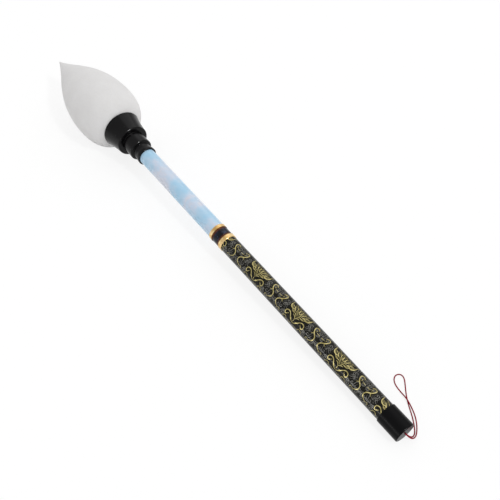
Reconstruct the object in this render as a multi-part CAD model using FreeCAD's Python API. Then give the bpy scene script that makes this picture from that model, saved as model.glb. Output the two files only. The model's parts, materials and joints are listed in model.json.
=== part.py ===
import FreeCAD, Part
import math
import os

# A large floor-writing brush: a sponge head in a screw-on cup, a handle in two sections that screw
# together at a banded collar, and a push-on tail cap with a hanging cord.
# Every piece is turned about one axis. It is first made along local X, from the tip of the sponge
# (X = 0) to the tail, and then laid down on Z = 0, resting on the sponge's belly and the cap's rim.

# ---- sponge head -------------------------------------------------------------------------------
HEAD_LENGTH = 162.5         # tip to the cup's mouth
BELLY_RADIUS = 39.8
BELLY_TO_MOUTH = 40.0       # from the widest ring back to the cup's mouth
SHOULDER_REACH = 5.0        # control points of the round shoulder above the cup's mouth
SHOULDER_RISE = 12.0
SHOULDER_CROWN = 22.0       # how far before the widest ring the shoulder is nearly full
FRONT_CROWN = 51.1          # the same, on the way to the tip
FRONT_SLOPE_REACH = 41.9    # from the nub back to the control point of the long tapering flank
FRONT_SLOPE_RADIUS = 18.45
NUB_LENGTH = 4.0            # blunt little point that the foam is cut to
NUB_BASE_RADIUS = 1.9
NUB_TIP_RADIUS = 1.1
SPONGE_PRESS = 1.0          # how deep the foam is pressed flat where it lies on the ground
GLUE_GAP = 0.1              # glue line between the foam and what it is glued to

# ---- cup (ferrule) -----------------------------------------------------------------------------
CUP_LENGTH = 26.6
CUP_MOUTH_RADIUS = 24.1
CUP_BASE_RADIUS = 19.6
CUP_FLARE = 0.57            # how far the flank dips below a straight cone
CUP_WALL = 2.0
CUP_FLOOR = 6.4
CUP_LIP_ROUND = 0.7
CUP_BASE_ROUND = 1.5
STUD_RADIUS = 7.0           # coarse male thread on the cup's underside, drawn at its major radius
STUD_CHAMFER = 1.0
SCREW_SINK_RADIUS = 4.4     # recess in the stud's end for the core screw's head
SCREW_SINK_DEPTH = 6.0

# ---- core that carries the foam ----------------------------------------------------------------
CORE_LENGTH = 62.0          # from the cup's floor into the foam
CORE_RADIUS = 5.0
CORE_BARB_RADIUS = 9.0
CORE_BARB_WIDTH = 5.0       # slope of each barb, and then its flat rim
CORE_BARB_LAND = 1.0
CORE_BARB_COUNT = 3
CORE_BARB_SPACING = 17.0
CORE_SCREW_RADIUS = 2.0
CORE_SCREW_BITE = 24.0      # depth of the screw in the core
SCREW_HEAD_RADIUS = 3.6
SCREW_HEAD_HEIGHT = 2.6
SCREW_WASHER_RADIUS = 4.2
SCREW_WASHER_THICKNESS = 0.8
SCREW_CLEARANCE = 0.2

# ---- neck --------------------------------------------------------------------------------------
SEAL_THICKNESS = 1.0        # rubber ring in the crease between cup and neck
SEAL_RADIUS = 13.4
NECK_LENGTH = 31.4
NECK_WAIST_LENGTH = 17.8
NECK_WAIST_RADIUS = 14.0
NECK_STEP_ROUND = 1.2
NECK_STEP_SLOPE = 0.9       # length over which the waist steps down to the tube's socket
SOCKET_RADIUS = 11.1
SOCKET_FLARE_LENGTH = 4.0
SOCKET_LIP_RADIUS = 11.85
SOCKET_LIP_WIDTH = 3.2
NECK_EDGE_ROUND = 0.3
INSERT_RADIUS = 9.5         # brass threaded bush moulded into the neck
INSERT_LENGTH = 14.0
NECK_WEB = 2.0              # solid web between the bush and the tube's seat

# ---- handle tubes ------------------------------------------------------------------------------
HANDLE_DIAMETER = 20.0      # over the printed film
FILM_THICKNESS = 0.2
TUBE_WALL = 1.3
UPPER_BARE_LENGTH = 142.0   # neck's lip to the upper gold ring
LOWER_BARE_LENGTH = 240.0   # lower gold ring to the tail cap
NECK_PLUG_LENGTH = 18.0     # plug that closes the upper tube inside the neck
TAIL_PLUG_LENGTH = 16.0     # plug that closes the lower tube inside the cap

# ---- collar between the sections ---------------------------------------------------------------
UPPER_RING_LENGTH = 5.0
LOWER_RING_LENGTH = 5.5
RING_RADIUS = 10.6
RING_ROUND = 0.3
BAND_LENGTH = 9.8
BAND_RADIUS = 10.15
COLLAR_WASHER_THICKNESS = 0.6
JOINT_THREAD_RADIUS = 6.0   # coarse male thread of the joint, drawn at its major radius
JOINT_PLUG_LENGTH = 20.0    # how deep each half of the joint is glued into its tube
JOINT_END_WALL = 3.0        # solid end behind the joint's blind thread

# ---- tail cap and its cord ---------------------------------------------------------------------
CAP_LENGTH = 25.0
CAP_RADIUS = 11.0
CAP_COVER = 15.0            # length of tube that the cap is pushed over
CAP_END_WALL = 3.0
CAP_EDGE_ROUND = 1.0
CAP_MOUTH_CHAMFER = 0.4
CAP_HOLLOW_RADIUS = 8.4     # room for the knot behind the end wall
CORD_HOLE_RADIUS = 1.6
CORD_DIAMETER = 1.2
KNOT_RADIUS = 2.6
KNOT_LENGTH = 3.6
KNOT_WASHER_RADIUS = 5.0
KNOT_WASHER_THICKNESS = 0.8
CORD_RUN_SHARE = 0.45       # share of the shorter run that each bend of the cord takes up

# ---- clearances --------------------------------------------------------------------------------
THREAD_CLEARANCE = 0.05     # radial, both screw joints
CAP_CLEARANCE = 0.05        # radial, cap over the tube
THREAD_END_ROOM = 1.0       # beyond the end of each male thread
THREAD_ENGAGED = 11.8       # both screw joints let go within four turns of 3 mm

# The cord's route in the finished frame: out of the cap's hole, down to the ground, along it
# beside the handle, round the loop's end, and back under itself into the same hole.
CORD_ROUTE = [
    (320.0, -0.4, 11.9), (326.3, -0.5, 11.6), (330.7, 2.6, 7.4), (330.5, 8.7, 3.2),
    (327.0, 14.6, 0.8), (321.2, 20.5, 0.6), (314.3, 25.2, 0.6), (307.7, 28.0, 0.8),
    (301.6, 29.6, 2.3), (296.2, 30.7, 2.3), (288.4, 31.9, 0.7), (280.4, 33.4, 0.6),
    (275.4, 37.0, 0.6), (273.8, 41.6, 0.6), (276.2, 45.6, 0.6), (281.0, 45.5, 0.6),
    (287.0, 40.6, 0.6), (294.7, 33.9, 0.6), (302.9, 28.3, 0.6), (310.5, 24.2, 0.6),
    (318.4, 19.3, 0.6), (325.4, 13.7, 0.6), (328.4, 9.3, 1.8), (329.1, 4.3, 5.8),
    (326.0, 0.4, 10.2), (320.0, 0.4, 10.5),
]

# ---- stations along the brush, and sizes that follow from the ones above -------------------------
STUD_LENGTH = SEAL_THICKNESS + THREAD_ENGAGED
JOINT_THREAD_LENGTH = COLLAR_WASHER_THICKNESS + THREAD_ENGAGED
BELLY_AT = HEAD_LENGTH - BELLY_TO_MOUTH
MOUTH_AT = HEAD_LENGTH
CUP_FLOOR_AT = MOUTH_AT + CUP_LENGTH - CUP_FLOOR
CUP_END_AT = MOUTH_AT + CUP_LENGTH
NECK_AT = CUP_END_AT + SEAL_THICKNESS
NECK_END_AT = NECK_AT + NECK_LENGTH
INSERT_END_AT = NECK_AT + INSERT_LENGTH
UPPER_TUBE_AT = INSERT_END_AT + NECK_WEB
UPPER_RING_AT = NECK_END_AT + UPPER_BARE_LENGTH
UPPER_TUBE_END_AT = UPPER_RING_AT + UPPER_RING_LENGTH
BAND_AT = UPPER_TUBE_END_AT + COLLAR_WASHER_THICKNESS
BAND_END_AT = BAND_AT + BAND_LENGTH
LOWER_TUBE_AT = BAND_END_AT + COLLAR_WASHER_THICKNESS
CAP_AT = LOWER_TUBE_AT + LOWER_RING_LENGTH + LOWER_BARE_LENGTH
LOWER_TUBE_END_AT = CAP_AT + CAP_COVER
TAIL_AT = CAP_AT + CAP_LENGTH
CAP_WALL_AT = TAIL_AT - CAP_END_WALL

HANDLE_RADIUS = HANDLE_DIAMETER / 2
TUBE_RADIUS = HANDLE_RADIUS - FILM_THICKNESS
TUBE_BORE = TUBE_RADIUS - TUBE_WALL

# Lying at rest: the belly and the cap's rounded rim both touch Z = 0.
TILT = math.asin((BELLY_RADIUS - SPONGE_PRESS - CAP_RADIUS) / (TAIL_AT - BELLY_AT))
RIM_ARM = CAP_RADIUS - CAP_EDGE_ROUND
TAIL_HEIGHT = RIM_ARM * math.cos(TILT) + CAP_EDGE_ROUND * (1 - math.sin(TILT))
TIP_HEIGHT = TAIL_HEIGHT + TAIL_AT * math.sin(TILT)
SPAN = (TAIL_AT - CAP_EDGE_ROUND) * math.cos(TILT) + RIM_ARM * math.sin(TILT) + CAP_EDGE_ROUND

AXIS = FreeCAD.Vector(1, 0, 0)
LAY_DOWN = FreeCAD.Placement(
    FreeCAD.Vector(-SPAN / 2, 0, TIP_HEIGHT),
    FreeCAD.Rotation(FreeCAD.Vector(0, 1, 0), math.degrees(TILT)),
)


def at(x, r=0.0):
    return FreeCAD.Vector(x, r, 0)


def rod(start, end, radius):
    return Part.makeCylinder(radius, end - start, at(start), AXIS)


def tube(start, end, outer, inner):
    return rod(start, end, outer).cut(rod(start, end, inner))


def straight(a, b):
    return Part.LineSegment(a, b).toShape()


def bend(before, corner, after, radius):
    """The arc of this radius that rounds a corner, as (start, edge, end)."""
    back = (before - corner).normalize()
    on = (after - corner).normalize()
    half = back.getAngle(on) / 2
    start = corner + back * (radius / math.tan(half))
    end = corner + on * (radius / math.tan(half))
    middle = corner + (back + on).normalize() * (radius / math.sin(half) - radius)
    return start, Part.Arc(start, middle, end).toShape(), end


def turned(outline):
    """Solid of revolution of a closed outline of (x, radius) or (x, radius, corner rounding)."""
    points = [at(p[0], p[1]) for p in outline]
    rounds = [p[2] if len(p) > 2 else 0 for p in outline]
    edges = []
    here = points[0]
    for i in range(1, len(points)):
        following = points[(i + 1) % len(points)]
        if rounds[i]:
            start, arc, end = bend(points[i - 1], points[i], following, rounds[i])
            edges += [straight(here, start), arc]
            here = end
        else:
            edges.append(straight(here, points[i]))
            here = points[i]
    edges.append(straight(here, points[0]))
    return Part.Face(Part.Wire(edges)).revolve(FreeCAD.Vector(0, 0, 0), AXIS, 360)


def chamfered_rod(start, end, radius, chamfer):
    """A rod whose end at the tail side is chamfered."""
    return turned([
        (start, 0),
        (start, radius),
        (end - chamfer, radius),
        (end, radius - chamfer),
        (end, 0),
    ])


def sponge_skin():
    """Face between the axis and the outside of the foam, from the tip to the cup's mouth."""
    mouth_radius = CUP_MOUTH_RADIUS - CUP_WALL - GLUE_GAP
    nub_at = NUB_LENGTH
    flank = Part.BezierCurve()
    flank.setPoles([
        at(nub_at, NUB_BASE_RADIUS),
        at(nub_at + FRONT_SLOPE_REACH, FRONT_SLOPE_RADIUS),
        at(BELLY_AT - FRONT_CROWN, BELLY_RADIUS),
        at(BELLY_AT, BELLY_RADIUS),
    ])
    shoulder = Part.BezierCurve()
    shoulder.setPoles([
        at(BELLY_AT, BELLY_RADIUS),
        at(BELLY_AT + SHOULDER_CROWN, BELLY_RADIUS),
        at(MOUTH_AT - SHOULDER_REACH, mouth_radius + SHOULDER_RISE),
        at(MOUTH_AT, mouth_radius),
    ])
    nub_round = Part.Arc(
        at(0),
        at(NUB_TIP_RADIUS * (1 - math.sqrt(0.5)), NUB_TIP_RADIUS * math.sqrt(0.5)),
        at(NUB_TIP_RADIUS, NUB_TIP_RADIUS),
    )
    return Part.Face(Part.Wire([
        nub_round.toShape(),
        straight(at(NUB_TIP_RADIUS, NUB_TIP_RADIUS), at(nub_at, NUB_BASE_RADIUS)),
        flank.toShape(),
        shoulder.toShape(),
        straight(at(MOUTH_AT, mouth_radius), at(MOUTH_AT)),
        straight(at(MOUTH_AT), at(0)),
    ]))


def core_outline(gap):
    """Outline of the barbed core, grown by a gap all round."""
    start = CUP_FLOOR_AT - CORE_LENGTH - gap
    outline = [(start, 0), (start, CORE_RADIUS + gap)]
    for i in range(CORE_BARB_COUNT):
        barb = CUP_FLOOR_AT - CORE_LENGTH + CORE_BARB_SPACING * i + CORE_BARB_WIDTH
        outline += [
            (barb - gap, CORE_RADIUS + gap),
            (barb + CORE_BARB_WIDTH - gap, CORE_BARB_RADIUS + gap),
            (barb + CORE_BARB_WIDTH + CORE_BARB_LAND + gap, CORE_BARB_RADIUS + gap),
            (barb + CORE_BARB_WIDTH + CORE_BARB_LAND + gap, CORE_RADIUS + gap),
        ]
    return outline + [(CUP_FLOOR_AT, CORE_RADIUS + gap), (CUP_FLOOR_AT, 0)]


def cup_inner_radius(depth):
    """Radius of the cup's straight-sided hollow at a depth below its mouth."""
    fall = (CUP_MOUTH_RADIUS - CUP_BASE_RADIUS) / CUP_LENGTH
    return CUP_MOUTH_RADIUS - CUP_WALL - fall * depth - CUP_FLARE * 2 * depth / CUP_LENGTH


def sponge_head():
    """Teardrop of white foam whose foot is glued into the cup, hollow where the core sits."""
    outside = sponge_skin().revolve(FreeCAD.Vector(0, 0, 0), AXIS, 360)
    foot_depth = CUP_LENGTH - CUP_FLOOR - GLUE_GAP
    foot = turned([
        (MOUTH_AT, 0),
        (MOUTH_AT, cup_inner_radius(0) - GLUE_GAP),
        (MOUTH_AT + foot_depth, cup_inner_radius(foot_depth) - GLUE_GAP),
        (MOUTH_AT + foot_depth, 0),
    ])
    foam = outside.fuse(foot).removeSplitter()
    foam = foam.cut(turned(core_outline(GLUE_GAP)))
    laid = foam.transformed(LAY_DOWN.toMatrix())
    ground = Part.makeBox(
        TAIL_AT, TAIL_AT, TAIL_AT,
        FreeCAD.Vector(-TAIL_AT / 2, -TAIL_AT / 2, -TAIL_AT),
    )
    return laid.cut(ground).transformed(LAY_DOWN.inverse().toMatrix())


def sponge_core():
    """Moulded peg with saw-tooth barbs that carries the foam, with a pilot hole for the screw."""
    pilot = rod(CUP_FLOOR_AT - CORE_SCREW_BITE, CUP_FLOOR_AT, CORE_SCREW_RADIUS)
    return turned(core_outline(0)).cut(pilot)


def ferrule_cup():
    """Flared cup with a solid floor and a threaded stud under it, bored for the core screw."""
    middle_depth = CUP_LENGTH / 2
    flank = Part.Arc(
        at(CUP_END_AT - CUP_BASE_ROUND, CUP_BASE_RADIUS),
        at(MOUTH_AT + middle_depth, (CUP_MOUTH_RADIUS + CUP_BASE_RADIUS) / 2 - CUP_FLARE),
        at(MOUTH_AT + CUP_LIP_ROUND, CUP_MOUTH_RADIUS),
    )
    lip_inner = CUP_MOUTH_RADIUS - CUP_LIP_ROUND
    lip = Part.Arc(
        at(MOUTH_AT + CUP_LIP_ROUND, CUP_MOUTH_RADIUS),
        at(
            MOUTH_AT + CUP_LIP_ROUND * (1 - math.sqrt(0.5)),
            lip_inner + CUP_LIP_ROUND * math.sqrt(0.5),
        ),
        at(MOUTH_AT, lip_inner),
    )
    base_inner = CUP_BASE_RADIUS - CUP_BASE_ROUND
    base = Part.Arc(
        at(CUP_END_AT, base_inner),
        at(
            CUP_END_AT - CUP_BASE_ROUND * (1 - math.sqrt(0.5)),
            base_inner + CUP_BASE_ROUND * math.sqrt(0.5),
        ),
        at(CUP_END_AT - CUP_BASE_ROUND, CUP_BASE_RADIUS),
    )
    shell = Part.Face(Part.Wire([
        straight(at(MOUTH_AT), at(CUP_END_AT)),
        straight(at(CUP_END_AT), at(CUP_END_AT, base_inner)),
        base.toShape(),
        flank.toShape(),
        lip.toShape(),
        straight(at(MOUTH_AT, lip_inner), at(MOUTH_AT)),
    ])).revolve(FreeCAD.Vector(0, 0, 0), AXIS, 360)
    hollow = turned([
        (MOUTH_AT, 0),
        (MOUTH_AT, cup_inner_radius(0)),
        (CUP_FLOOR_AT, cup_inner_radius(CUP_LENGTH - CUP_FLOOR)),
        (CUP_FLOOR_AT, 0),
    ])
    stud_end = CUP_END_AT + STUD_LENGTH
    stud = chamfered_rod(CUP_END_AT - CUP_BASE_ROUND, stud_end, STUD_RADIUS, STUD_CHAMFER)
    screw_hole = rod(CUP_FLOOR_AT, stud_end, CORE_SCREW_RADIUS + SCREW_CLEARANCE)
    sink = rod(stud_end - SCREW_SINK_DEPTH, stud_end, SCREW_SINK_RADIUS)
    return shell.cut(hollow).fuse(stud).cut(screw_hole).cut(sink).removeSplitter()


def core_screw():
    """Self-tapping screw through the stud into the core."""
    seat = CUP_END_AT + STUD_LENGTH - SCREW_SINK_DEPTH + SCREW_WASHER_THICKNESS
    shank = rod(CUP_FLOOR_AT - CORE_SCREW_BITE, seat, CORE_SCREW_RADIUS)
    head = turned([
        (seat, 0),
        (seat, SCREW_HEAD_RADIUS),
        (seat + SCREW_HEAD_HEIGHT, SCREW_HEAD_RADIUS, SCREW_HEAD_HEIGHT / 3),
        (seat + SCREW_HEAD_HEIGHT, 0),
    ])
    slot_depth = SCREW_HEAD_HEIGHT / 2
    slot_width = SCREW_HEAD_HEIGHT / 3
    slot = Part.makeBox(
        slot_depth, 2 * SCREW_HEAD_RADIUS, slot_width,
        FreeCAD.Vector(seat + SCREW_HEAD_HEIGHT - slot_depth, -SCREW_HEAD_RADIUS, -slot_width / 2),
    )
    return shank.fuse(head).cut(slot).removeSplitter()


def screw_washer():
    """Plain washer under the core screw's head."""
    seat = CUP_END_AT + STUD_LENGTH - SCREW_SINK_DEPTH
    return tube(
        seat, seat + SCREW_WASHER_THICKNESS,
        SCREW_WASHER_RADIUS, CORE_SCREW_RADIUS + SCREW_CLEARANCE,
    )


def neck_seal():
    """Rubber ring clamped between the cup's base and the neck."""
    return tube(CUP_END_AT, NECK_AT, SEAL_RADIUS, STUD_RADIUS + 2 * SCREW_CLEARANCE)


def neck_socket():
    """Stepped neck moulding: a thick waist over the thread, then the lipped socket of the tube."""
    step = NECK_AT + NECK_WAIST_LENGTH
    lip = NECK_END_AT - SOCKET_LIP_WIDTH
    return turned([
        (NECK_AT, INSERT_RADIUS),
        (NECK_AT, NECK_WAIST_RADIUS, NECK_EDGE_ROUND),
        (step, NECK_WAIST_RADIUS, NECK_STEP_ROUND),
        (step + NECK_STEP_SLOPE, SOCKET_RADIUS, NECK_EDGE_ROUND),
        (lip - SOCKET_FLARE_LENGTH, SOCKET_RADIUS),
        (lip, SOCKET_LIP_RADIUS),
        (NECK_END_AT, SOCKET_LIP_RADIUS, NECK_EDGE_ROUND),
        (NECK_END_AT, HANDLE_RADIUS),
        (UPPER_TUBE_AT, HANDLE_RADIUS),
        (UPPER_TUBE_AT, STUD_RADIUS + THREAD_CLEARANCE),
        (INSERT_END_AT, STUD_RADIUS + THREAD_CLEARANCE),
        (INSERT_END_AT, INSERT_RADIUS),
    ])


def neck_insert():
    """Brass bush with the female thread for the cup's stud."""
    return tube(NECK_AT, INSERT_END_AT, INSERT_RADIUS, STUD_RADIUS + THREAD_CLEARANCE)


def neck_plug():
    """Plug that keeps water out of the upper tube."""
    return rod(UPPER_TUBE_AT, UPPER_TUBE_AT + NECK_PLUG_LENGTH, TUBE_BORE)


def upper_tube():
    return tube(UPPER_TUBE_AT, UPPER_TUBE_END_AT, TUBE_RADIUS, TUBE_BORE)


def upper_film():
    """Printed shrink film on the upper tube."""
    return tube(UPPER_TUBE_AT, UPPER_TUBE_END_AT, HANDLE_RADIUS, TUBE_RADIUS)


def trim_ring(start, length):
    """Thin gold ring pressed over the end of a tube."""
    return turned([
        (start, HANDLE_RADIUS),
        (start, RING_RADIUS, RING_ROUND),
        (start + length, RING_RADIUS, RING_ROUND),
        (start + length, HANDLE_RADIUS),
    ])


def joint_spigot():
    """Plug glued into the upper tube, with the joint's male thread standing out of it."""
    plug = rod(UPPER_TUBE_END_AT - JOINT_PLUG_LENGTH, UPPER_TUBE_END_AT, TUBE_BORE)
    thread = chamfered_rod(
        UPPER_TUBE_END_AT - THREAD_END_ROOM, UPPER_TUBE_END_AT + JOINT_THREAD_LENGTH,
        JOINT_THREAD_RADIUS, STUD_CHAMFER,
    )
    return plug.fuse(thread).removeSplitter()


def joint_washer(start, outer, inner):
    """Flat fibre washer at one side of the black band."""
    return tube(start, start + COLLAR_WASHER_THICKNESS, outer, inner)


def joint_socket():
    """Black band with the joint's female thread, glued into the lower tube."""
    bore_end = UPPER_TUBE_END_AT + JOINT_THREAD_LENGTH + THREAD_END_ROOM
    plug_end = max(BAND_END_AT + JOINT_PLUG_LENGTH, bore_end + JOINT_END_WALL)
    body = turned([
        (BAND_AT, 0),
        (BAND_AT, BAND_RADIUS, RING_ROUND),
        (BAND_END_AT, BAND_RADIUS, RING_ROUND),
        (BAND_END_AT, TUBE_BORE),
        (plug_end, TUBE_BORE),
        (plug_end, 0),
    ])
    return body.cut(rod(BAND_AT, bore_end, JOINT_THREAD_RADIUS + THREAD_CLEARANCE))


def lower_tube():
    return tube(LOWER_TUBE_AT, LOWER_TUBE_END_AT, TUBE_RADIUS, TUBE_BORE)


def lower_film():
    """Printed shrink film on the lower tube."""
    return tube(LOWER_TUBE_AT, LOWER_TUBE_END_AT, HANDLE_RADIUS, TUBE_RADIUS)


def tail_plug():
    """Plug that closes the lower tube inside the cap."""
    return rod(LOWER_TUBE_END_AT - TAIL_PLUG_LENGTH, LOWER_TUBE_END_AT, TUBE_BORE)


def end_cap():
    """Push-on cap: a bore over the tube, a smaller hollow for the knot and a hole for the cord."""
    bore = HANDLE_RADIUS + CAP_CLEARANCE
    body = turned([
        (CAP_AT, bore),
        (CAP_AT, CAP_RADIUS - CAP_MOUTH_CHAMFER),
        (CAP_AT + CAP_MOUTH_CHAMFER, CAP_RADIUS),
        (TAIL_AT, CAP_RADIUS, CAP_EDGE_ROUND),
        (TAIL_AT, CORD_HOLE_RADIUS),
        (CAP_WALL_AT, CORD_HOLE_RADIUS),
        (CAP_WALL_AT, CAP_HOLLOW_RADIUS),
        (LOWER_TUBE_END_AT, CAP_HOLLOW_RADIUS),
        (LOWER_TUBE_END_AT, bore),
    ])
    return body


def knot_washer():
    """Washer that stops the knot from pulling through the cap's hole."""
    return tube(
        CAP_WALL_AT - KNOT_WASHER_THICKNESS, CAP_WALL_AT,
        KNOT_WASHER_RADIUS, CORD_HOLE_RADIUS,
    )


def cord_knot():
    """The knot that joins the cord's two ends inside the cap."""
    end = CAP_WALL_AT - KNOT_WASHER_THICKNESS
    shoulder = KNOT_LENGTH / 3
    return turned([
        (end - KNOT_LENGTH, 0),
        (end - KNOT_LENGTH, KNOT_RADIUS, shoulder),
        (end, KNOT_RADIUS, shoulder),
        (end, 0),
    ])


def cord_bend_radius(before, corner, after):
    back = before - corner
    on = after - corner
    half_turn = (math.pi - back.getAngle(on)) / 2
    return CORD_RUN_SHARE * min(back.Length, on.Length) / math.tan(half_turn)


def hanging_cord():
    """Round cord swept along straight runs joined by tangent arcs."""
    points = [FreeCAD.Vector(*p) for p in CORD_ROUTE]
    edges = []
    radii = []
    here = points[0]
    for i in range(1, len(points) - 1):
        before, corner, after = points[i - 1:i + 2]
        radii.append(cord_bend_radius(before, corner, after))
        start, arc, end = bend(before, corner, after, radii[-1])
        edges += [straight(here, start), arc]
        here = end
    edges.append(straight(here, points[-1]))
    path = Part.Wire(edges)
    section = Part.Wire(Part.Circle(
        points[0], points[1] - points[0], CORD_DIAMETER / 2,
    ).toShape())
    cord = path.makePipeShell([section], True, False)
    area = math.pi * CORD_DIAMETER ** 2 / 4
    print("cord bend radii:", " ".join(f"{r:.1f}" for r in radii))
    print(f"cord length {path.Length:.1f}, volume / (section x length) "
          f"{cord.Volume / (area * path.Length):.4f}")
    return cord


def write(name, shape):
    if len(shape.Solids) != 1 or not shape.isValid():
        print("not one valid solid:", name)
    shape.Solids[0].exportStep(f"parts/{name}.step")


JOINT_BORE = JOINT_THREAD_RADIUS + THREAD_CLEARANCE
TURNED_PIECES = {
    "sponge_head": sponge_head(),
    "sponge_core": sponge_core(),
    "core_screw": core_screw(),
    "screw_washer": screw_washer(),
    "ferrule_cup": ferrule_cup(),
    "neck_seal": neck_seal(),
    "neck_socket": neck_socket(),
    "neck_insert": neck_insert(),
    "neck_plug": neck_plug(),
    "upper_tube": upper_tube(),
    "upper_film": upper_film(),
    "upper_gold_ring": trim_ring(UPPER_RING_AT, UPPER_RING_LENGTH),
    "joint_spigot": joint_spigot(),
    "joint_washer": joint_washer(UPPER_TUBE_END_AT, HANDLE_RADIUS, JOINT_BORE),
    "joint_socket": joint_socket(),
    "band_washer": joint_washer(BAND_END_AT, HANDLE_RADIUS, TUBE_BORE),
    "lower_gold_ring": trim_ring(LOWER_TUBE_AT, LOWER_RING_LENGTH),
    "lower_tube": lower_tube(),
    "lower_film": lower_film(),
    "tail_plug": tail_plug(),
    "end_cap": end_cap(),
    "knot_washer": knot_washer(),
    "cord_knot": cord_knot(),
}

os.makedirs("parts", exist_ok=True)
for piece, shape in TURNED_PIECES.items():
    write(piece, shape.transformed(LAY_DOWN.toMatrix()))
write("hanging_cord", hanging_cord())
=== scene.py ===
import itertools
import json
import math

import bmesh
import bpy
from mathutils import Matrix, Vector, geometry


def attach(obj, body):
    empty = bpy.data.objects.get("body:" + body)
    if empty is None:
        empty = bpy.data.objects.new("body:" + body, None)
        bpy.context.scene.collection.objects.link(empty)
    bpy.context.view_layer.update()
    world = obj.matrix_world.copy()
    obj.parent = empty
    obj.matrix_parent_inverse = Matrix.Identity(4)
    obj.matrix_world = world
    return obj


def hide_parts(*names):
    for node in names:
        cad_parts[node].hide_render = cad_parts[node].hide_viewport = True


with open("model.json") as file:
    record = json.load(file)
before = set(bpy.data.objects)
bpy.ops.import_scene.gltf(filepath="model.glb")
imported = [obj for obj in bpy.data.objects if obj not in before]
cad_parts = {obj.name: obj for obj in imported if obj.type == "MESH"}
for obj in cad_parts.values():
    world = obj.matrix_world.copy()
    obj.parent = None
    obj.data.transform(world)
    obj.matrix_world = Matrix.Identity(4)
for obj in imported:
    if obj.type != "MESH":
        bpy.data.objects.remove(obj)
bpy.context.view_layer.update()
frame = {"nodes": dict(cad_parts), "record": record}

# ---- camera -----------------------------------------------------------------------------------
# A still-life view from above the tail, looking down the brush towards its head, which lies away
# from the camera and to the left.
CAMERA_AT = (0.4555, -0.2719, 0.5722)
CAMERA_DOWN = math.radians(49.29)
CAMERA_ROUND = math.radians(52.79)
CAMERA_LENS_MM = 48.96

camera_data = bpy.data.cameras.new("camera")
camera_data.lens = CAMERA_LENS_MM
camera_data.sensor_width = 36
camera_data.clip_start = 0.01
camera = bpy.data.objects.new("camera", camera_data)
camera.location = CAMERA_AT
camera.rotation_euler = (math.pi / 2 - CAMERA_DOWN, 0, CAMERA_ROUND)
bpy.context.scene.collection.objects.link(camera)
bpy.context.scene.camera = camera
bpy.context.scene.view_settings.view_transform = "Standard"

# ---- ground and light ---------------------------------------------------------------------------
# A plain white ground in a pale, evenly lit room, with a small lamp beyond the tail, a wide soft one
# overhead, and two that show only in gloss, as a sheen and as glints. The ground looks white by itself
# and keeps a soft shadow of the brush. A lamp: its place, aim, size, watts and whether it is for gloss.
GROUND_HALF = 60.0
GROUND_COLOUR = (0.95, 0.95, 0.95, 1)
GROUND_SHADOW_SHARE = 0.22
GROUND_GLOW = 1.03
ROOM_LIGHT = 0.70
LAMPS = [
    ("small_lamp", (1.92, 0.28, 2.20), (0, 0, 0), (0.24, 0.24), 16.0, False),
    ("ceiling", (-0.70, 1.30, 1.80), (0, 0, 0), (2.40, 2.40), 10.0, False),
    ("low_strip", (0.16, -0.46, 0.10), (0.30, 0, 0.02), (0.30, 0.10), 0.42, True),
    ("glint", (1.92, 0.28, 2.20), (0, 0, 0), (0.62, 0.62), 150.0, True),
]


def node_at(tree, kind, **settings):
    """A new shader node, with its settings and its unlinked inputs given by name."""
    made = tree.nodes.new(kind)
    for name, value in settings.items():
        if name in made.inputs:
            made.inputs[name].default_value = value
        else:
            setattr(made, name, value)
    return made


world = bpy.data.worlds.new("pale_room")
world.use_nodes = True
bpy.context.scene.world = world
room = world.node_tree.nodes["Background"]
room.inputs["Color"].default_value = (1, 1, 1, 1)
room.inputs["Strength"].default_value = ROOM_LIGHT

ground_mesh = bpy.data.meshes.new("ground")
ground_shape = bmesh.new()
bmesh.ops.create_grid(ground_shape, x_segments=1, y_segments=1, size=GROUND_HALF)
ground_shape.to_mesh(ground_mesh)
ground_shape.free()
ground = bpy.data.objects.new("ground", ground_mesh)
bpy.context.scene.collection.objects.link(ground)

ground_material = bpy.data.materials.new("white_ground")
ground_material.use_nodes = True
tree = ground_material.node_tree
tree.nodes.clear()
path = node_at(tree, "ShaderNodeLightPath")
seen = node_at(tree, "ShaderNodeMath", operation="MAXIMUM")
seen_through = node_at(tree, "ShaderNodeMath", operation="MAXIMUM")
tree.links.new(path.outputs["Is Camera Ray"], seen.inputs[0])
tree.links.new(path.outputs["Is Glossy Ray"], seen.inputs[1])
tree.links.new(seen.outputs[0], seen_through.inputs[0])
tree.links.new(path.outputs["Is Transmission Ray"], seen_through.inputs[1])
share = node_at(tree, "ShaderNodeMath", operation="MULTIPLY")
share.inputs[1].default_value = 1 - GROUND_SHADOW_SHARE
paper = node_at(tree, "ShaderNodeBsdfDiffuse", Color=GROUND_COLOUR, Roughness=1.0)
glow = node_at(tree, "ShaderNodeEmission", Color=(1, 1, 1, 1), Strength=GROUND_GLOW)
ground_mix = node_at(tree, "ShaderNodeMixShader")
tree.links.new(seen_through.outputs[0], share.inputs[0])
tree.links.new(share.outputs[0], ground_mix.inputs[0])
tree.links.new(paper.outputs[0], ground_mix.inputs[1])
tree.links.new(glow.outputs[0], ground_mix.inputs[2])
tree.links.new(ground_mix.outputs[0], node_at(tree, "ShaderNodeOutputMaterial").inputs[0])
ground.data.materials.append(ground_material)

for name, place, aim, size, watts, for_gloss in LAMPS:
    lamp_data = bpy.data.lights.new(name, "AREA")
    lamp_data.shape = "ELLIPSE"
    lamp_data.size, lamp_data.size_y = size
    lamp_data.energy = watts
    lamp = bpy.data.objects.new(name, lamp_data)
    lamp.location = place
    lamp.rotation_euler = (Vector(aim) - Vector(place)).to_track_quat("-Z", "Y").to_euler()
    lamp.visible_camera = False
    lamp.visible_diffuse = not for_gloss
    bpy.context.scene.collection.objects.link(lamp)

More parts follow.
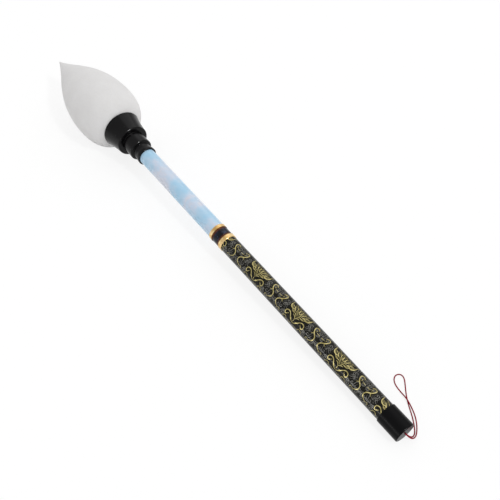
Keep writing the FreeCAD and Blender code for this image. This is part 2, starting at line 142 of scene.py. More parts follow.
# ---- foam head ----------------------------------------------------------------------------------
# White closed-pore foam, ground to a teardrop on a lathe and finished with fine abrasive, so that
# its skin is smooth but slightly open. Its foot is glued into the cup. Where the brush lies on it,
# its belly is pressed flat.
HEAD_NUB = [(0, 0), (0.0002, 0.0007), (0.0011, 0.0011)]
HEAD_BELLY = (0.1225, 0.0398)
HEAD_MOUTH = (0.1625, 0.0220)
HEAD_FOOT = (0.1826, 0.0177)
HEAD_FLANK = [(0.0040, 0.0019), (0.0459, 0.01845), (0.0714, 0.0398), HEAD_BELLY]
HEAD_SHOULDER = [HEAD_BELLY, (0.1445, 0.0398), (0.1575, 0.0340), HEAD_MOUTH]
HEAD_STEPS = 128
TIP_TO_NECK = 0.1901

joints = {joint["name"]: joint for joint in frame["record"]["behaviour"]["joints"]}
towards_tail = Vector(joints["cap_pull"]["axis"])
tip = Vector(joints["head_turn"]["pos_m"]) - towards_tail * TIP_TO_NECK
lay_down = Matrix.Translation(tip) @ Vector((1, 0, 0)).rotation_difference(towards_tail).to_matrix().to_4x4()


def bezier(a, b, c, d, count):
    """Points on a Bezier curve through (station, radius) control points, without the last."""
    poles = [Vector((p[0], p[1], 0)) for p in (a, b, c, d)]
    return [(p.x, p.y) for p in geometry.interpolate_bezier(*poles, count)][:-1]


def turned(profile, steps=96, closed=False):
    """A bmesh of (station, radius) points turned about the brush's axis."""
    shape = bmesh.new()
    verts = [shape.verts.new((station, radius, 0)) for station, radius in profile]
    for a, b in zip(verts, verts[1:] + verts[:1] if closed else verts[1:]):
        shape.edges.new((a, b))
    bmesh.ops.spin(
        shape, geom=shape.verts[:] + shape.edges[:], cent=(0, 0, 0), axis=(1, 0, 0),
        dvec=(0, 0, 0), angle=2 * math.pi, steps=steps, use_merge=True,
    )
    bmesh.ops.remove_doubles(shape, verts=shape.verts[:], dist=1e-6)
    bmesh.ops.recalc_face_normals(shape, faces=shape.faces[:])
    return shape


def laid(name, shape, crease=40):
    """A bmesh made along the brush as a finished object, laid down with the brush."""
    bmesh.ops.transform(shape, matrix=lay_down, verts=shape.verts[:])
    mesh = bpy.data.meshes.new(name)
    shape.to_mesh(mesh)
    shape.free()
    mesh.polygons.foreach_set("use_smooth", [True] * len(mesh.polygons))
    mesh.set_sharp_from_angle(angle=math.radians(crease))
    made = bpy.data.objects.new(name, mesh)
    bpy.context.scene.collection.objects.link(made)
    return made


def principled(name, **settings):
    """A new material: (material, node tree, its Principled shader)."""
    material = bpy.data.materials.new(name)
    material.use_nodes = True
    shader = material.node_tree.nodes["Principled BSDF"]
    for setting, value in settings.items():
        shader.inputs[setting.replace("_", " ")].default_value = value
    return material, material.node_tree, shader


def along_brush(tree):
    """Object coordinates turned so that X runs along the brush from its tip, Y and Z across it."""
    where = node_at(tree, "ShaderNodeTexCoord")
    turn = node_at(tree, "ShaderNodeMapping", vector_type="TEXTURE")
    turn.inputs["Location"].default_value = lay_down.to_translation()
    turn.inputs["Rotation"].default_value = lay_down.to_euler()
    tree.links.new(where.outputs["Object"], turn.inputs["Vector"])
    return turn.outputs[0]


def noise(tree, place, scale, detail=3.0, stretch=None):
    """A noise texture's factor; stretch scales the three directions apart."""
    if stretch:
        mapping = node_at(tree, "ShaderNodeMapping", Scale=stretch)
        tree.links.new(place, mapping.inputs["Vector"])
        place = mapping.outputs[0]
    texture = node_at(tree, "ShaderNodeTexNoise", Scale=scale, Detail=detail)
    tree.links.new(place, texture.inputs["Vector"])
    return texture.outputs[0]


def ramp(tree, factor, *stops):
    """A colour ramp over (position, colour) stops."""
    made = node_at(tree, "ShaderNodeValToRGB")
    elements = made.color_ramp.elements
    while len(elements) < len(stops):
        elements.new(0.5)
    for element, (position, colour) in zip(elements, stops):
        element.position = position
        element.color = (*colour, 1)
    tree.links.new(factor, made.inputs[0])
    return made.outputs[0]


def math_node(tree, operation, *values):
    """A math node over outputs and plain numbers."""
    made = node_at(tree, "ShaderNodeMath", operation=operation)
    for socket, value in zip(made.inputs, values):
        if isinstance(value, (int, float)):
            socket.default_value = value
        else:
            tree.links.new(value, socket)
    return made.outputs[0]


def bumped(tree, shader, height, distance, strength=1.0):
    """Links a height to the shader's normal; distance is in metres."""
    bump = node_at(tree, "ShaderNodeBump", Strength=strength, Distance=distance)
    tree.links.new(height, bump.inputs["Height"])
    tree.links.new(bump.outputs[0], shader.inputs["Normal"])


def coloured(tree, shader, factor, *stops):
    """Links a ramp of (position, colour) stops over a factor to the shader's colour."""
    tree.links.new(ramp(tree, factor, *stops), shader.inputs["Base Color"])


head_profile = HEAD_NUB + bezier(*HEAD_FLANK, 48) + bezier(*HEAD_SHOULDER, 24)
head_profile += [HEAD_MOUTH, HEAD_FOOT, (HEAD_FOOT[0], 0)]
foam = laid("foam_head", turned(head_profile, HEAD_STEPS))
for vert in foam.data.vertices:
    vert.co.z = max(vert.co.z, 0.0)
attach(foam, "head")
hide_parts("sponge_head")

foam_material, tree, shader = principled("white_foam", Roughness=0.92, Sheen_Weight=0.1)
shader.inputs["Specular IOR Level"].default_value = 0.15
place = along_brush(tree)
grind = noise(tree, place, 60.0, 5.0)
fine_grind = noise(tree, place, 420.0, 3.0)
tone = math_node(tree, "MULTIPLY_ADD", math_node(tree, "SUBTRACT", fine_grind, 0.5), 0.7, grind)
coloured(tree, shader, tone, (0.3, (0.738, 0.728, 0.724)), (0.7, (0.768, 0.760, 0.757)))
pores = node_at(tree, "ShaderNodeTexVoronoi", feature="F1", Scale=2200.0)
tree.links.new(place, pores.inputs["Vector"])
lathe_marks = noise(tree, place, 1.0, 2.0, stretch=(900.0, 12.0, 12.0))
skin = math_node(tree, "MULTIPLY_ADD", pores.outputs[0], 0.7, lathe_marks)
bumped(tree, shader, math_node(tree, "MULTIPLY_ADD", grind, 0.5, skin), 0.00012, 0.5)
foam.data.materials.append(foam_material)

# ---- core of the foam ----------------------------------------------------------------------------
# A moulded peg with saw-tooth barbs fills the foam's bore. A self-tapping screw, let into the end of
# the cup's stud, pulls it onto the cup's floor over a plain steel washer.


def dress(material, *names):
    """Gives CAD nodes their finish."""
    for name in names:
        for slot in frame["nodes"][name].material_slots:
            slot.material = material


def roughened(tree, shader, factor, spread, least):
    """Links an uneven roughness to the shader: the least, and a spread that follows the factor."""
    tree.links.new(math_node(tree, "MULTIPLY_ADD", factor, spread, least), shader.inputs["Roughness"])


def moulded(name, colour, roughness, gloss=0.35):
    """Moulded plastic: nearly even colour, slightly uneven gloss, a fine texture and faint rubs."""
    material, tree, shader = principled(name)
    shader.inputs["Specular IOR Level"].default_value = gloss
    place = along_brush(tree)
    cloudy = noise(tree, place, 70.0, 4.0)
    dark = tuple(value * 0.85 for value in colour)
    light = tuple(value * 1.2 for value in colour)
    coloured(tree, shader, cloudy, (0.3, dark), (0.75, light))
    rubs = noise(tree, place, 1.0, 3.0, stretch=(60.0, 900.0, 900.0))
    roughened(tree, shader, rubs, 0.14, roughness - 0.07)
    bumped(tree, shader, noise(tree, place, 3200.0, 2.0), 0.00002, 0.4)
    return material


peg_material = moulded("natural_polymer", (0.58, 0.57, 0.53), 0.45)
dress(peg_material, "sponge_core")

steel_material, tree, shader = principled("bright_steel", Metallic=1.0)
place = along_brush(tree)
drawn = noise(tree, place, 1.0, 3.0, stretch=(40.0, 2400.0, 2400.0))
coloured(tree, shader, drawn, (0.3, (0.52, 0.53, 0.55)), (0.7, (0.66, 0.67, 0.69)))
roughened(tree, shader, drawn, 0.15, 0.22)
bumped(tree, shader, drawn, 0.00001, 0.3)
dress(steel_material, "core_screw", "screw_washer", "knot_washer")

# ---- cup ----------------------------------------------------------------------------------------
# The cup that holds the foam is moulded in glossy black plastic, thick-floored, with a hollow flank,
# a rounded lip and rear edge, and a coarse threaded stud under its floor.
CUP_INNER_MOUTH = (0.1625, 0.0221)
CUP_INNER_FLOOR = (0.1827, 0.0178)
CUP_MOUTH = (0.1625, 0.0241)
CUP_LIP_ROUND = 0.0007
CUP_LIP_RUNS_TO = (0.1635, 0.02402)
CUP_FLANK = [(0.1632, 0.0241), (0.1715, 0.02185), (0.1798, 0.02035), (0.1880, 0.0196)]
CUP_BASE_COMES_FROM = (0.1860, 0.0198)
CUP_BASE = (0.1891, 0.0196)
CUP_BASE_ROUND = 0.0015
STUD_END = 0.2019
STUD_END_ROUND = 0.0006
STUD_ROOT = 0.0062
STUD_CREST = 0.0070
STUD_THREAD = (0.1906, 0.2006)
SCREW_RECESS = (0.1959, 0.0044)
SCREW_HOLE = 0.0022
THREAD_PITCH = 0.003
THREAD_STEPS = 48


def outline(*corners):
    """A profile from (station, radius) corners, each rounded where it gives a rounding as well."""
    profile = []
    for i, corner in enumerate(corners):
        here = Vector(corner[:2])
        if len(corner) == 2:
            profile.append(tuple(here))
            continue
        back = (Vector(corners[i - 1][:2]) - here).normalized() * corner[2]
        on = (Vector(corners[(i + 1) % len(corners)][:2]) - here).normalized() * corner[2]
        profile += bezier(here + back, here + back * 0.45, here + on * 0.45, here + on, 7)
        profile.append(tuple(here + on))
    return profile


def wind_thread(shape, start, end, root, crest):
    """Adds one tooth of a male thread, wound along the axis between two stations."""
    foot = root - (crest - root) * 0.5
    corners = [(-0.36, foot), (-0.07, crest), (0.07, crest), (0.36, foot)]
    verts = [shape.verts.new((start + share * THREAD_PITCH, radius, 0)) for share, radius in corners]
    tooth = shape.faces.new(verts)
    turns = (end - start) / THREAD_PITCH
    bmesh.ops.spin(
        shape, geom=[tooth], cent=(0, 0, 0), axis=(1, 0, 0), dvec=(THREAD_PITCH / THREAD_STEPS, 0, 0),
        angle=2 * math.pi * turns, steps=round(THREAD_STEPS * turns),
    )
    bmesh.ops.recalc_face_normals(shape, faces=shape.faces[:])


cup_lip = outline(CUP_INNER_MOUTH, (*CUP_MOUTH, CUP_LIP_ROUND), CUP_LIP_RUNS_TO)
cup_end = outline(
    CUP_BASE_COMES_FROM, (*CUP_BASE, CUP_BASE_ROUND), (CUP_BASE[0], STUD_ROOT),
    (STUD_END, STUD_ROOT, STUD_END_ROUND), (STUD_END, SCREW_RECESS[1]), SCREW_RECESS,
    (SCREW_RECESS[0], SCREW_HOLE), (CUP_INNER_FLOOR[0], SCREW_HOLE), CUP_INNER_FLOOR,
)
cup_shape = turned(cup_lip[:-1] + bezier(*CUP_FLANK, 14) + cup_end[1:], closed=True)
wind_thread(cup_shape, *STUD_THREAD, STUD_ROOT, STUD_CREST)
cup = laid("black_cup", cup_shape)
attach(cup, "head")
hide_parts("ferrule_cup")
black_material = moulded("black_plastic", (0.0034, 0.0032, 0.0036), 0.20, 0.15)
cup.data.materials.append(black_material)

# ---- seal ---------------------------------------------------------------------------------------
# A flat rubber ring lies in the crease between the cup and the neck. It stays on the stud when the
# head is unscrewed, and keeps the water out of the thread.
rubber_material, tree, shader = principled("seal_rubber", Roughness=0.7)
shader.inputs["Specular IOR Level"].default_value = 0.25
place = along_brush(tree)
bloom = noise(tree, place, 260.0, 4.0)
coloured(tree, shader, bloom, (0.3, (0.008, 0.008, 0.008)), (0.7, (0.018, 0.018, 0.018)))
bumped(tree, shader, noise(tree, place, 2600.0), 0.00003, 0.5)
dress(rubber_material, "neck_seal")

# ---- neck ---------------------------------------------------------------------------------------
# The neck is a stepped moulding in the same black plastic: a thick waist over a moulded-in brass
# bush with the female thread, then a thinner lipped socket that the tube is glued into.
dress(black_material, "neck_socket")


def split(tree, vector):
    """The three parts of a vector."""
    apart = node_at(tree, "ShaderNodeSeparateXYZ")
    tree.links.new(vector, apart.inputs[0])
    return apart.outputs


def female_thread(tree, place):
    """A height that winds round the axis like a screw thread."""
    station, sideways, upward = split(tree, place)
    angle = math_node(tree, "ARCTAN2", sideways, upward)
    phase = math_node(tree, "MULTIPLY_ADD", station, 2 * math.pi / THREAD_PITCH, angle)
    return math_node(tree, "SINE", phase)


brass_material, tree, shader = principled("brass", Metallic=1.0)
place = along_brush(tree)
lathe = noise(tree, place, 1.0, 2.0, stretch=(5200.0, 30.0, 30.0))
tarnish = noise(tree, place, 210.0, 4.0)
coloured(tree, shader, tarnish, (0.25, (0.42, 0.27, 0.09)), (0.7, (0.68, 0.47, 0.18)))
roughened(tree, shader, tarnish, 0.2, 0.2)
height = math_node(tree, "MULTIPLY_ADD", lathe, 0.05, female_thread(tree, place))
bumped(tree, shader, height, 0.0003, 0.8)
dress(brass_material, "neck_insert")
dress(peg_material, "neck_plug", "tail_plug")

# ---- upper tube and its film ----------------------------------------------------------------------
# A thin drawn tube carries a printed film, shrunk on: soft sky-blue and lavender clouds, as of
# marbled paper, under a gloss varnish. The blue gathers in three places along the section.
FILM_FROM = 0.2215
FILM_TO = 0.3635
BLUE_PLACES = [
    (0.00, 0.95), (0.10, 0.80), (0.22, 0.12), (0.40, 0.10), (0.47, 0.75), (0.60, 0.80), (0.68, 0.25),
    (0.78, 0.80), (0.90, 0.85), (1.00, 0.55),
]
tube_material = moulded("tube_plastic", (0.030, 0.029, 0.028), 0.5)
dress(tube_material, "upper_tube", "lower_tube")

marbled_material, tree, shader = principled("marbled_film", Roughness=0.22)
shader.inputs["Specular IOR Level"].default_value = 0.4
place = along_brush(tree)
past_start = math_node(tree, "SUBTRACT", split(tree, place)[0], FILM_FROM)
share = math_node(tree, "DIVIDE", past_start, FILM_TO - FILM_FROM)
drift = noise(tree, place, 42.0, 2.0)
share = math_node(tree, "MULTIPLY_ADD", math_node(tree, "SUBTRACT", drift, 0.5), 0.30, share)
blue_share = ramp(tree, share, *[(position, (value, value, value)) for position, value in BLUE_PLACES])
soft_clouds = noise(tree, place, 55.0, 4.0, stretch=(0.8, 1.3, 1.3))
small_clouds = noise(tree, place, 150.0, 3.0)
blueness = math_node(tree, "MULTIPLY_ADD", math_node(tree, "SUBTRACT", soft_clouds, 0.5), 1.5, blue_share)
blueness = math_node(tree, "MULTIPLY_ADD", math_node(tree, "SUBTRACT", small_clouds, 0.5), 0.9, blueness)
coloured(
    tree, shader, blueness, (0.05, (0.65, 0.68, 0.77)), (0.35, (0.57, 0.67, 0.81)),
    (0.70, (0.46, 0.65, 0.82)), (1.00, (0.38, 0.62, 0.81)),
)
bumped(tree, shader, noise(tree, place, 240.0, 2.0), 0.00003, 0.3)
dress(marbled_material, "upper_film")

# ---- gold rings -----------------------------------------------------------------------------------
# Two turned aluminium rings, anodised gold, are glued over the films' ends at the joint. Each ring is
# painted dark brown over a strip of its inner edge, next to the band.
JOINT_MIDDLE = 0.3740
BROWN_STRIP_TO = 0.0066
BROWN_STRIP_FADE = 0.0008
BROWN_STRIP_COLOUR = (0.085, 0.028, 0.007)


def from_joint(tree, place):
    """How far a point lies from the joint's middle, along the brush."""
    return math_node(tree, "ABSOLUTE", math_node(tree, "SUBTRACT", split(tree, place)[0], JOINT_MIDDLE))


def laid_over(tree, factor, under, colour):
    """One colour laid over another, by a factor."""
    made = node_at(tree, "ShaderNodeMix", data_type="RGBA", clamp_factor=True)
    tree.links.new(factor, made.inputs[0])
    tree.links.new(under, made.inputs[6])
    made.inputs[7].default_value = (*colour, 1)
    return made.outputs[2]


gold_material, tree, shader = principled("anodised_gold", Metallic=1.0)
place = along_brush(tree)
lathe = noise(tree, place, 1.0, 2.0, stretch=(6000.0, 25.0, 25.0))
tone = noise(tree, place, 150.0, 3.0)
gold = ramp(tree, tone, (0.35, (0.62, 0.38, 0.13)), (0.65, (0.95, 0.74, 0.40)))
# Each ring's inner edge, next to the band, is painted dark brown.
inside_edge = math_node(tree, "SUBTRACT", BROWN_STRIP_TO, from_joint(tree, place))
browned = math_node(tree, "DIVIDE", inside_edge, BROWN_STRIP_FADE)
tree.links.new(laid_over(tree, browned, gold, BROWN_STRIP_COLOUR), shader.inputs["Base Color"])
roughened(tree, shader, lathe, 0.12, 0.27)
bumped(tree, shader, lathe, 0.00001, 0.35)
dress(gold_material, "upper_gold_ring", "lower_gold_ring")

# ---- joint ----------------------------------------------------------------------------------------
# A moulded plug in the upper tube carries the joint's male thread. The black band is the head of the
# female half, glued into the lower tube, between two washers of red-brown vulcanised fibre. Its
# smoky blue-black lacquer is painted amber towards its two edges.
JOINT_PLUG = (0.3485, 0.0085)
JOINT_PLUG_ROUND = 0.0004
JOINT_FACE = 0.3685
JOINT_END = 0.3809
JOINT_END_ROUND = 0.0005
JOINT_ROOT = 0.0053
JOINT_CREST = 0.0060
JOINT_THREAD = (0.3700, 0.3796)
JOINT_BORE = 0.0065
BAND_CLEAR = 0.0032
BAND_FADE = 0.0012
BAND_AMBER = (0.070, 0.016, 0.005)
spigot_shape = turned(outline(
    (JOINT_PLUG[0], 0), (*JOINT_PLUG, JOINT_PLUG_ROUND), (JOINT_FACE, JOINT_PLUG[1]),
    (JOINT_FACE, JOINT_ROOT), (JOINT_END, JOINT_ROOT, JOINT_END_ROUND), (JOINT_END, 0),
))
wind_thread(spigot_shape, *JOINT_THREAD, JOINT_ROOT, JOINT_CREST)
spigot = laid("threaded_plug", spigot_shape)
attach(spigot, "upper_section")
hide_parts("joint_spigot")
spigot.data.materials.append(peg_material)

fibre_material, tree, shader = principled("vulcanised_fibre", Roughness=0.6)
shader.inputs["Specular IOR Level"].default_value = 0.3
place = along_brush(tree)
layers = noise(tree, place, 1.0, 4.0, stretch=(3000.0, 160.0, 160.0))
coloured(tree, shader, layers, (0.3, (0.10, 0.026, 0.014)), (0.7, (0.20, 0.055, 0.028)))
bumped(tree, shader, layers, 0.00004, 0.5)
dress(fibre_material, "joint_washer", "band_washer")

band_material, tree, shader = principled("glossy_band", Roughness=0.16)
shader.inputs["Specular IOR Level"].default_value = 0.20
place = along_brush(tree)
smoke = noise(tree, place, 190.0, 2.0)
lacquer = ramp(
    tree, smoke, (0.40, (0.003, 0.003, 0.006)), (0.52, (0.009, 0.012, 0.026)), (0.64, (0.028, 0.036, 0.070)),
)
# The band is painted amber towards its two edges, next to the washers and rings.
past_clear = math_node(tree, "SUBTRACT", from_joint(tree, place), BAND_CLEAR)
at_edges = math_node(tree, "DIVIDE", past_clear, BAND_FADE)
tree.links.new(laid_over(tree, at_edges, lacquer, BAND_AMBER), shader.inputs["Base Color"])
sideways, upward = split(tree, place)[1:]
across = math_node(tree, "SQRT", math_node(
    tree, "ADD", math_node(tree, "MULTIPLY", sideways, sideways), math_node(tree, "MULTIPLY", upward, upward),
))
in_bore = math_node(tree, "LESS_THAN", across, JOINT_BORE)
height = math_node(tree, "MULTIPLY", female_thread(tree, place), in_bore)
bumped(tree, shader, math_node(tree, "MULTIPLY_ADD", smoke, 0.04, height), 0.0003, 0.8)
dress(band_material, "joint_socket")

# ---- lower tube's film and its gold print -----------------------------------------------------------
# The lower film is black, printed all over with a traditional pattern: rows of lotus palmettes with
# paired scrolls between them in gold ink, over fine silver-grey clouds, under a gloss varnish. The
# pattern repeats along the tube and twice round it, its second row half a repeat further on.
FILM_RADIUS = 0.0100
FILM_START = 0.3796
FILM_END = 0.6398
PALMETTE_AT = 0.3758
REPEAT = 0.0636
REPEATS = 5
ROWS = 2
INK_RELIEF = 0.10
MILLIMETRE = 0.001
PETAL_FOOT = Vector((0, 6.0))

film_material, tree, shader = principled("black_film", Roughness=0.16)
shader.inputs["Specular IOR Level"].default_value = 0.17
place = along_brush(tree)
mist = noise(tree, place, 230.0, 5.0)
coloured(
    tree, shader, mist, (0.35, (0.003, 0.0027, 0.0016)), (0.60, (0.010, 0.009, 0.006)),
    (0.75, (0.028, 0.026, 0.018)),
)
bumped(tree, shader, noise(tree, place, 240.0, 2.0), 0.00003, 0.3)
dress(film_material, "lower_film")


def mirrored(lines):
    """Lines with their mirror images: (width, points), in millimetres along the brush and round it."""
    return lines + [(width, [(-s, t) for s, t in points]) for width, points in lines]


def petal(lean, start, reach, bulge):
    """A pointed petal with a rib, leaning away from the palmette's middle by an angle in degrees."""
    along = Vector((math.sin(math.radians(lean)), -math.cos(math.radians(lean))))
    across = Vector((-along.y, along.x))
    foot = PETAL_FOOT + along * start
    middle = foot + along * reach * 0.55
    end = foot + along * reach
    edge_out = [foot, foot + along * reach * 0.2 + across * bulge, middle + across * bulge, end]
    edge_in = [foot, foot + along * reach * 0.2 - across * bulge, middle - across * bulge, end]
    rib = [foot + along * reach * 0.25, middle, end - along * reach * 0.22]
    return [(0.44, edge_out), (0.44, edge_in), (0.30, rib)]


def cloud(at_s, at_t, size, lean):
    """A small curled cloud: a spiral head with a long tail, a wisp over it and a short line under it."""
    lines = [
        (0.36, [
            (0.05, 0.15), (0.40, -0.10), (0.05, -0.50), (-0.50, -0.15), (-0.30, 0.50), (0.45, 0.60),
            (1.20, 0.15), (2.00, 0.55),
        ]),
        (0.32, [(-0.75, 0.35), (-0.35, 1.05), (0.60, 1.15), (1.50, 0.90)]),
        (0.28, [(0.60, -0.45), (1.05, -0.25), (1.60, -0.50)]),
    ]
    turn = Matrix.Rotation(math.radians(lean), 2) * size
    middle = Vector((at_s, at_t))
    return [(width, [middle + turn @ Vector(point) for point in points]) for width, points in lines]


palmette = [(0.7, [(0, 10.8), (0, 9.0), (0, 7.6)])]
palmette += petal(0, 5.0, 9.0, 1.4)
for lean, start, reach, bulge in [(21, 5.4, 9.8, 1.4), (40, 5.8, 11.2, 1.5), (57, 6.4, 10.6, 1.4)]:
    palmette += mirrored(petal(lean, start, reach, bulge))
palmette += mirrored([
    (0.75, [(0, 7.4), (1.2, 6.0), (2.6, 4.9), (4.6, 4.8)]),
    (0.70, [(0, 5.4), (1.6, 3.6), (3.6, 2.8), (6.4, 3.4), (8.4, 2.8)]),
    (0.65, [(0, 3.4), (1.8, 1.6), (4.2, 0.8)]),
    (0.55, [(0, 1.4), (1.6, -0.4), (3.2, -1.0)]),
    (0.75, [(6.2, 1.8), (7.0, -0.2), (8.6, 1.2), (11.8, 1.2), (13.9, -1.4), (13.6, -4.6), (14.8, -7.4)]),
    (0.85, [
        (0, 12.4), (3.6, 11.0), (6.0, 7.0), (9.4, 4.6), (13.2, 5.8), (13.2, 9.8), (10.6, 10.4), (10.2, 8.4),
    ]),
    (0.95, [(2.6, 10.4), (4.2, 8.8), (5.4, 8.6)]),
    (0.55, [(10.6, 9.2), (9.0, 8.4), (8.6, 7.2)]),
    (0.50, [(14.8, 17.4), (14.0, 13.4), (10.4, 11.6), (7.8, 14.2), (8.2, 17.4)]),
    (0.50, [(2.6, 14.2), (4.4, 15.4), (5.4, 13.4)]),
])
scroll_pair = mirrored([
    (0.95, [
        (4.8, -2.4), (6.4, -4.6), (10.2, -4.0), (9.8, -0.4), (7.6, 2.6), (4.2, 4.4), (2.8, 7.6),
        (4.4, 10.8), (8.8, 12.8),
    ]),
    (0.80, [(6.6, 2.6), (8.4, 3.2), (9.6, 4.6)]),
    (0.50, [(6.2, -2.0), (7.2, -0.6), (6.4, 0.8)]),
    (0.45, [(5.4, 0.2), (3.4, 1.2), (2.0, 0.2), (0.8, 1.4)]),
    (0.45, [(8.4, 12.2), (10.6, 11.2), (12.2, 12.8), (11.0, 14.6)]),
])
clouds = []
for at_s, at_t, size, lean in [
    (18.2, -12.4, 3.4, 20), (24.4, -7.0, 3.2, 205), (17.8, -0.6, 3.0, 60), (20.4, 8.0, 3.3, 300),
    (23.4, 14.4, 3.2, 125), (28.4, -12.8, 3.2, 310), (28.6, 2.4, 2.3, 250), (28.0, 12.6, 2.6, 215),
    (2.0, 15.4, 2.8, 40), (15.2, 13.8, 3.0, 250), (3.6, -12.0, 3.1, 340), (10.4, -13.6, 3.1, 190),
    (16.4, -7.6, 2.6, 80), (29.8, -5.2, 2.5, 60), (18.8, 4.2, 2.6, 150), (29.6, 7.6, 2.2, 20),
    (22.4, -2.6, 2.2, 330), (15.8, 9.8, 2.4, 100), (7.2, 15.0, 2.6, 70), (24.6, -14.6, 2.8, 140),
]:
    clouds += cloud(at_s, at_t, size, lean)


def drawn_lines(groups, thin_end):
    """The ink's lines as a flat bmesh: X along the brush, Y round the film and Z outwards."""
    curve = bpy.data.curves.new("ink_lines", "CURVE")
    curve.dimensions = "3D"
    curve.bevel_depth = MILLIMETRE
    curve.bevel_resolution = 0
    curve.resolution_u = 3
    curve.use_fill_caps = True
    girth = 2 * math.pi * FILM_RADIUS
    for (lines, shift), row, i in itertools.product(groups, range(ROWS), range(REPEATS + 1)):
        from_s = PALMETTE_AT + (i + shift - row / ROWS) * REPEAT
        from_t = row * girth / ROWS
        for width, points in lines:
            spline = curve.splines.new("NURBS")
            spline.points.add(len(points) - 1)
            for point, (s, t) in zip(spline.points, points):
                point.co = (from_s + s * MILLIMETRE, from_t + t * MILLIMETRE, 0, 1)
                point.radius = width / 2
            spline.points[0].radius *= thin_end
            spline.points[-1].radius *= thin_end
            spline.order_u = 3
            spline.use_endpoint_u = True
    flat = bpy.data.objects.new("ink_lines", curve)
    bpy.context.scene.collection.objects.link(flat)
    bpy.context.view_layer.update()
    flat_mesh = bpy.data.meshes.new_from_object(flat.evaluated_get(bpy.context.evaluated_depsgraph_get()))
    shape = bmesh.new()
    shape.from_mesh(flat_mesh)
    bpy.data.objects.remove(flat)
    bpy.data.meshes.remove(flat_mesh)
    return shape


def printed(name, groups, thin_end):
    """Ink lines, cut off at the film's ends and wrapped round it: groups are (lines, shift in repeats)."""
    shape = drawn_lines(groups, thin_end)
    bmesh.ops.remove_doubles(shape, verts=shape.verts[:], dist=1e-7)
    for station, way in ((FILM_START, -1), (FILM_END, 1)):
        cut = bmesh.ops.bisect_plane(
            shape, geom=shape.verts[:] + shape.edges[:] + shape.faces[:], dist=1e-7,
            plane_co=(station, 0, 0), plane_no=(way, 0, 0), clear_outer=True,
        )
        rim = [edge for edge in cut["geom_cut"] if isinstance(edge, bmesh.types.BMEdge)]
        bmesh.ops.holes_fill(shape, edges=rim)
    bmesh.ops.recalc_face_normals(shape, faces=shape.faces[:])
    for vert in shape.verts:
        round_by = vert.co.y / FILM_RADIUS
        radius = FILM_RADIUS + vert.co.z * INK_RELIEF
        vert.co = (vert.co.x, -radius * math.sin(round_by), radius * math.cos(round_by))
    return laid(name, shape, crease=60)


def ink(name, metallic, roughness, dark, light):
    """Printing ink, laid on a little unevenly, so that its colour and gloss vary."""
    material, tree, shader = principled(name, Metallic=metallic)
    uneven = noise(tree, along_brush(tree), 420.0, 3.0)
    coloured(tree, shader, uneven, (0.3, dark), (0.65, light))
    roughened(tree, shader, uneven, 0.2, roughness)
    return material


gold_print = printed("gold_print", [(palmette, 0), (scroll_pair, 0.5)], 0.35)
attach(gold_print, "lower_section")
gold_print.data.materials.append(ink("gold_ink", 0.55, 0.25, (0.34, 0.285, 0.085), (0.64, 0.55, 0.235)))

silver_print = printed("silver_print", [(mirrored(clouds), 0)], 0.4)
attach(silver_print, "lower_section")
silver_print.data.materials.append(ink("silver_ink", 0.3, 0.3, (0.115, 0.112, 0.096), (0.295, 0.290, 0.262)))

# ---- tail cap and its knot --------------------------------------------------------------------------
# The push-on cap is moulded in soft black vinyl, so that it grips the tube. Inside it, the cord's two
# ends are tied in one knot behind a small steel washer.
cap_material = moulded("black_vinyl", (0.0022, 0.0022, 0.0026), 0.30, 0.08)
dress(cap_material, "end_cap")

knot_material, tree, shader = principled("knotted_braid", Roughness=0.6, Sheen_Weight=0.3)
place = along_brush(tree)
turns = node_at(
    tree, "ShaderNodeTexWave", wave_type="BANDS", bands_direction="DIAGONAL", Scale=520.0, Distortion=2.0,
)
tree.links.new(place, turns.inputs["Vector"])
# The knot's turns are painted darker in the grooves between them: painted shade.
coloured(tree, shader, turns.outputs[1], (0.1, (0.08, 0.004, 0.010)), (0.8, (0.25, 0.012, 0.030)))
bumped(tree, shader, turns.outputs[1], 0.0004, 0.8)
dress(knot_material, "cord_knot")

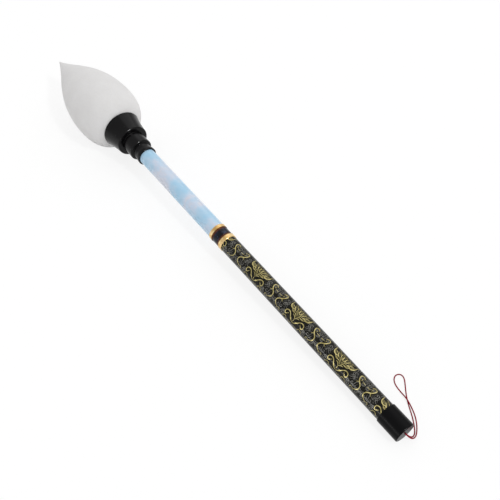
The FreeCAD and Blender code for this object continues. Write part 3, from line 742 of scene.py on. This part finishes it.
# ---- hanging cord ---------------------------------------------------------------------------------
# A thin braided red cord, both ends knotted together inside the tail cap. It comes out of the cap's
# hole, drops to the ground and lies beside the handle in a narrow loop that crosses itself once.
CORD_DIAMETER = 0.0012
CORD_BRAIDS = 74
CORD_ROUTE = [
    (0.3200, -0.0004, 0.0119), (0.3263, -0.0005, 0.0116), (0.3307, 0.0026, 0.0074),
    (0.3305, 0.0087, 0.0032), (0.3270, 0.0146, 0.0008), (0.3212, 0.0205, 0.0006),
    (0.3143, 0.0252, 0.0006), (0.3077, 0.0280, 0.0008), (0.3016, 0.0296, 0.0023),
    (0.2962, 0.0307, 0.0023), (0.2884, 0.0319, 0.0007), (0.2804, 0.0334, 0.0006),
    (0.2754, 0.0370, 0.0006), (0.2738, 0.0416, 0.0006), (0.2762, 0.0456, 0.0006),
    (0.2810, 0.0455, 0.0006), (0.2870, 0.0406, 0.0006), (0.2947, 0.0339, 0.0006),
    (0.3029, 0.0283, 0.0006), (0.3105, 0.0242, 0.0006), (0.3184, 0.0193, 0.0006),
    (0.3254, 0.0137, 0.0006), (0.3284, 0.0093, 0.0018), (0.3291, 0.0043, 0.0058),
    (0.3260, 0.0004, 0.0102), (0.3200, 0.0004, 0.0105),
]

cord_curve = bpy.data.curves.new("hanging_cord_line", "CURVE")
cord_curve.dimensions = "3D"
line = cord_curve.splines.new("NURBS")
line.points.add(len(CORD_ROUTE) - 1)
for point, place in zip(line.points, CORD_ROUTE):
    point.co = (*place, 1)
    point.radius = CORD_DIAMETER / 2
line.order_u = 3
line.use_endpoint_u = True
line.resolution_u = 12
cord_curve.bevel_depth = 1.0
cord_curve.bevel_resolution = 4
cord_curve.use_fill_caps = True
cord = bpy.data.objects.new("red_cord", cord_curve)
bpy.context.scene.collection.objects.link(cord)
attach(cord, "tail_cap")
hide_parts("hanging_cord")

cord_material, tree, shader = principled("red_braid", Roughness=0.6, Sheen_Weight=0.02)
shader.inputs["Specular IOR Level"].default_value = 0.08
unrolled = split(tree, node_at(tree, "ShaderNodeTexCoord").outputs["UV"])
along = math_node(tree, "MULTIPLY", unrolled[0], CORD_BRAIDS * 2 * math.pi)
around = math_node(tree, "MULTIPLY", unrolled[1], 4 * math.pi)
one_way = math_node(tree, "SINE", math_node(tree, "ADD", along, around))
other_way = math_node(tree, "SINE", math_node(tree, "SUBTRACT", along, around))
strands = math_node(tree, "MAXIMUM", one_way, other_way)
painted_groove_shade = math_node(tree, "MULTIPLY_ADD", strands, 0.5, 0.5)
# The strands' tops are painted lighter and the grooves between them darker: painted shade.
coloured(tree, shader, painted_groove_shade, (0.35, (0.100, 0.001, 0.007)), (0.9, (0.360, 0.002, 0.018)))
bumped(tree, shader, strands, 0.00012, 0.8)
cord.data.materials.append(cord_material)
